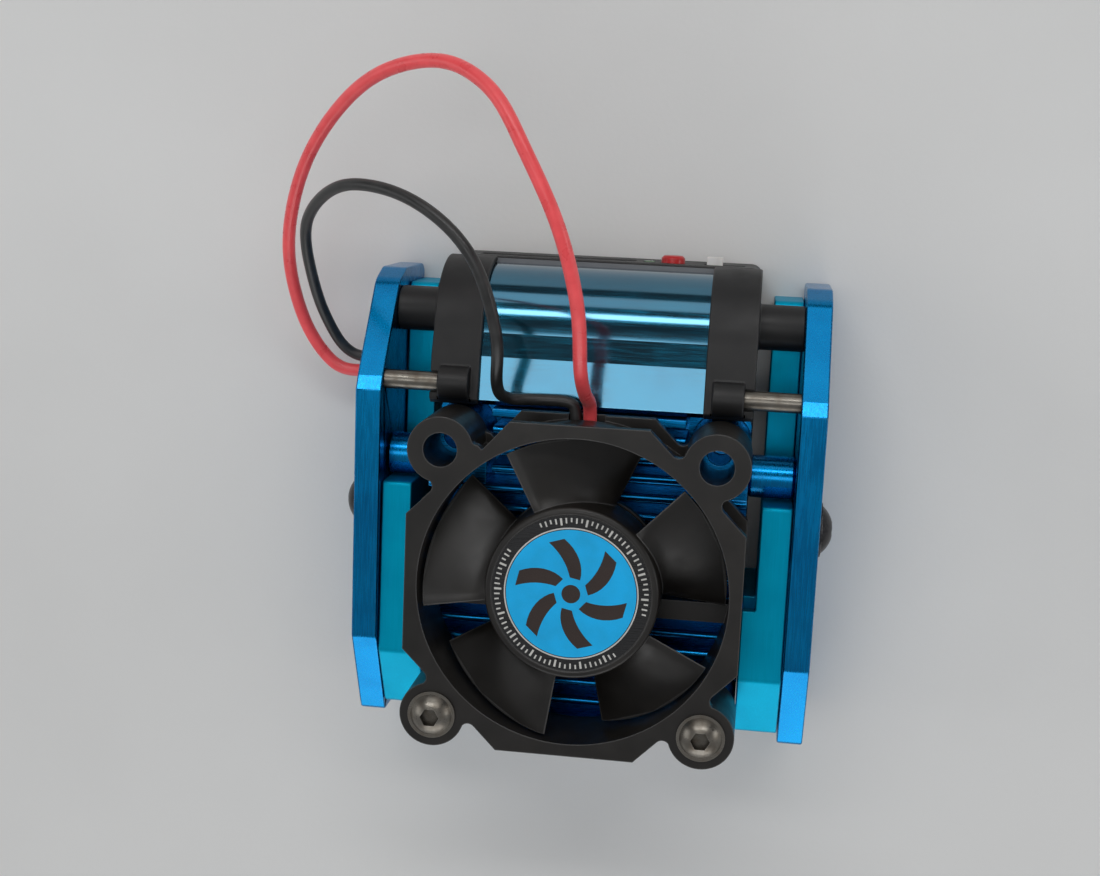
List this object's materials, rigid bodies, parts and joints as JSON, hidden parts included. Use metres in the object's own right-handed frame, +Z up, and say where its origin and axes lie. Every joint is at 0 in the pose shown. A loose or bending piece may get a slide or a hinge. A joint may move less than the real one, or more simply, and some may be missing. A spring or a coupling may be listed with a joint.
{
  "type": "electronic speed controller",
  "caption": "Fan-cooled motor speed controller: finned blue heat sink between two side plates, axial fan on top, capacitor bay behind, bullet sockets in front.",
  "frame": {"origin": "on the mounting plane, directly under the fan axis", "axes": "+Z up along the fan axis, +Y towards the capacitor bay, +X to the right when the power sockets face the viewer"},
  "size_m": [0.0716, 0.0823, 0.0391],
  "materials": {
    "black_nylon": "moulded, fine texture",
    "fan_nylon": "moulded, slight gloss",
    "anodised_blue": "satin anodised over machined metal",
    "grey_silicone": "matt",
    "thermal_silicone": "matt",
    "circuit_board": "solder resist",
    "chip_epoxy": "moulded epoxy",
    "white_nylon": "moulded",
    "white_plastic": "moulded",
    "black_plastic": "moulded",
    "red_plastic": "moulded",
    "gold_plated_brass": "polished plating",
    "stamped_steel": "stamped",
    "light_guide": "translucent",
    "capacitor_aluminium": "drawn",
    "capacitor_sleeve": "shrunk film",
    "black_rubber": "moulded",
    "tinned_wire": "tinned",
    "black_steel": "black oxide",
    "worn_steel": "worn plating",
    "bearing_steel": "ground",
    "laminated_steel": "laminated",
    "copper_wire": "enamelled",
    "ferrite": "sintered",
    "label_film": "printed film",
    "red_silicone": "satin",
    "black_silicone": "satin"
  },
  "bodies": {
    "controller": {"tray": "black_nylon", "case_gasket": "grey_silicone", "control_board": "circuit_board", "control_chips": "chip_epoxy", "board_spacers": "white_nylon", "board_header": "black_plastic", "power_board": "circuit_board", "mosfets": "chip_epoxy", "thermal_pad": "thermal_silicone", "heat_sink": "anodised_blue", "capacitor_cans": "capacitor_aluminium", "capacitor_sleeves": "capacitor_sleeve", "capacitor_bungs": "black_rubber", "capacitor_leads": "tinned_wire", "capacitor_cover": "anodised_blue", "cover_end_left": "black_nylon", "cover_end_right": "black_nylon", "motor_sockets": "gold_plated_brass", "battery_sockets": "gold_plated_brass", "positive_ring": "red_plastic", "negative_ring": "black_plastic", "phase_rings": "white_plastic", "sensor_port": "white_nylon", "receiver_port": "black_plastic", "fan_port": "white_nylon", "port_pins": "gold_plated_brass", "tact_switch": "stamped_steel", "switch_body": "stamped_steel", "status_light": "light_guide", "case_screws": "black_steel", "left_side_plate": "anodised_blue", "right_side_plate": "anodised_blue", "left_rail": "anodised_blue", "right_rail": "anodised_blue", "rail_screws": "black_steel", "side_spacers": "anodised_blue", "plate_screws": "black_steel", "brace_pins": "worn_steel", "fan_frame": "fan_nylon", "fan_screws": "worn_steel", "bearing_plug": "fan_nylon", "bearing_outer_rings": "bearing_steel", "fan_board": "circuit_board", "stator_core": "laminated_steel", "stator_windings": "copper_wire", "fan_plug": "white_nylon", "fan_lead_red": "red_silicone", "fan_lead_black": "black_silicone"},
    "fan_rotor": {"impeller": "fan_nylon", "hub_label": "label_film", "rotor_yoke": "bearing_steel", "rotor_magnet": "ferrite", "fan_shaft": "bearing_steel", "shaft_clip": "black_steel", "preload_washer": "bearing_steel", "bearing_inner_rings": "bearing_steel"},
    "bearing_cage": {"bearing_balls": "bearing_steel"},
    "set_cap": {"set_button": "red_plastic"},
    "switch_knob": {"switch_slider": "white_plastic"}
  },
  "joints": [
    {"name": "fan_spin", "type": "hinge", "parent": "controller", "child": "fan_rotor", "pos_m": [0, 0, 0.027], "axis": [0, 0, 1], "continuous": true},
    {"name": "cage_spin", "type": "hinge", "parent": "controller", "child": "bearing_cage", "pos_m": [0, 0, 0.027], "axis": [0, 0, 1], "continuous": true},
    {"name": "set_press", "type": "slide", "parent": "controller", "child": "set_cap", "axis": [0, -1, 0], "range_m": [0, 0.0005], "stiffness_N_per_m": 400},
    {"name": "power_slide", "type": "slide", "parent": "controller", "child": "switch_knob", "axis": [1, 0, 0], "range_m": [0, 0.0025]}
  ],
  "couplings": [
    {"joint": "cage_spin", "follows": "fan_spin", "ratio": 0.395}
  ]
}
